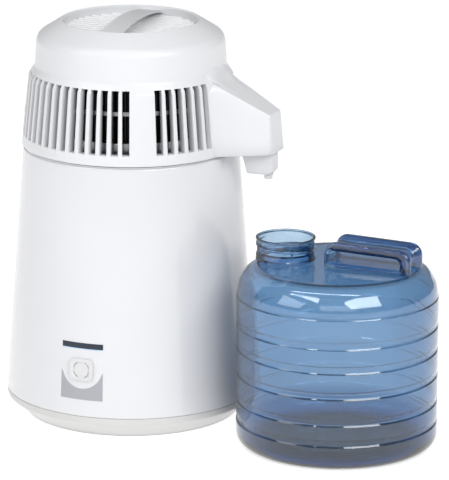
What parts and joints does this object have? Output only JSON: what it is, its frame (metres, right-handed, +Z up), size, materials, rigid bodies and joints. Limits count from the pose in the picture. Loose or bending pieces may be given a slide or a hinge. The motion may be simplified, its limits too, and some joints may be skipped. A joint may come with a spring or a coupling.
{
  "type": "countertop water distiller",
  "caption": "Tapered steel boiler with a lift-off louvred condenser head and side spout, and a handled jug that collects the distilled water.",
  "frame": {"origin": "centre of the boiler's foot ring, on the surface it stands on", "axes": "+Z up, +X from the boiler's axis towards the spout and the jug, -Y towards the front with the reset button"},
  "size_m": [0.4192, 0.2369, 0.3662],
  "materials": {
    "rubber": "matt black rubber",
    "pan_plastic": "light warm grey moulded plastic",
    "zinc_plate": "zinc-plated steel",
    "enamel": "glossy white enamel",
    "stainless": "brushed stainless steel",
    "cast_aluminium": "as cast",
    "contact_brass": "bright contacts",
    "phenolic": "black phenolic",
    "bezel_plastic": "white plastic",
    "panel_print": "printed light grey",
    "badge": "plain dark slate strip",
    "socket_plastic": "black moulded plastic",
    "head_plastic": "semi-gloss white moulded plastic",
    "grille_plastic": "white moulded slats",
    "bar_plastic": "light grey moulded bar",
    "motor_steel": "motor can",
    "fan_plastic": "black moulded fan",
    "silicone": "translucent silicone",
    "fin_black": "black coated fins",
    "filter_cloth": "white non-woven sachet",
    "jug_blue": "blue-tinted transparent polycarbonate",
    "jug_handle_blue": "deep blue tinted handle"
  },
  "bodies": {
    "boiler": {"foot_ring": "rubber", "base_pan": "pan_plastic", "bottom_cover": "zinc_plate", "base_screws": "zinc_plate", "casing": "enamel", "tank": "stainless", "tank_floor": "stainless", "heater_plate": "cast_aluminium", "heater_terminals": "contact_brass", "thermostats": "phenolic", "reset_bezel": "bezel_plastic", "reset_switch": "phenolic", "label_plate": "panel_print", "badge_strip": "badge", "power_inlet": "socket_plastic", "inlet_pins": "contact_brass", "fan_socket": "socket_plastic"},
    "button": {"reset_button": "bezel_plastic"},
    "head": {"head_shell": "head_plastic", "top_grille": "grille_plastic", "carry_bar": "bar_plastic", "motor_bracket": "zinc_plate", "bracket_screws": "zinc_plate", "fan_motor": "motor_steel", "condenser_lid": "stainless", "lid_gasket": "silicone", "condenser_fins": "fin_black", "condenser_band": "stainless", "condenser_coil": "stainless", "outlet_tube": "silicone", "fan_lead_gland": "head_plastic"},
    "fan": {"fan_shaft": "motor_steel", "impeller": "fan_plastic"},
    "cup": {"outlet_cup": "head_plastic", "carbon_filter": "filter_cloth"},
    "jug": {"jug_body": "jug_blue", "jug_handle": "jug_handle_blue"}
  },
  "joints": [
    {"name": "reset_press", "type": "slide", "parent": "boiler", "child": "button", "axis": [0, 0.9972, -0.0751], "range_m": [0, 0.0025], "stiffness_N_per_m": 400},
    {"name": "head_lift", "type": "slide", "parent": "boiler", "child": "head", "axis": [0, 0, 1], "range_m": [0, 0.15]},
    {"name": "fan_spin", "type": "hinge", "parent": "head", "child": "fan", "pos_m": [0, 0, 0.325], "axis": [0, 0, 1], "continuous": true},
    {"name": "cup_pull", "type": "slide", "parent": "head", "child": "cup", "axis": [0, 0, -1], "range_m": [0, 0.04]},
    {"name": "jug_slide", "type": "slide", "parent": "boiler", "child": "jug", "axis": [0.226, -0.9741, 0], "range_m": [-0.031, 0.25]}
  ]
}
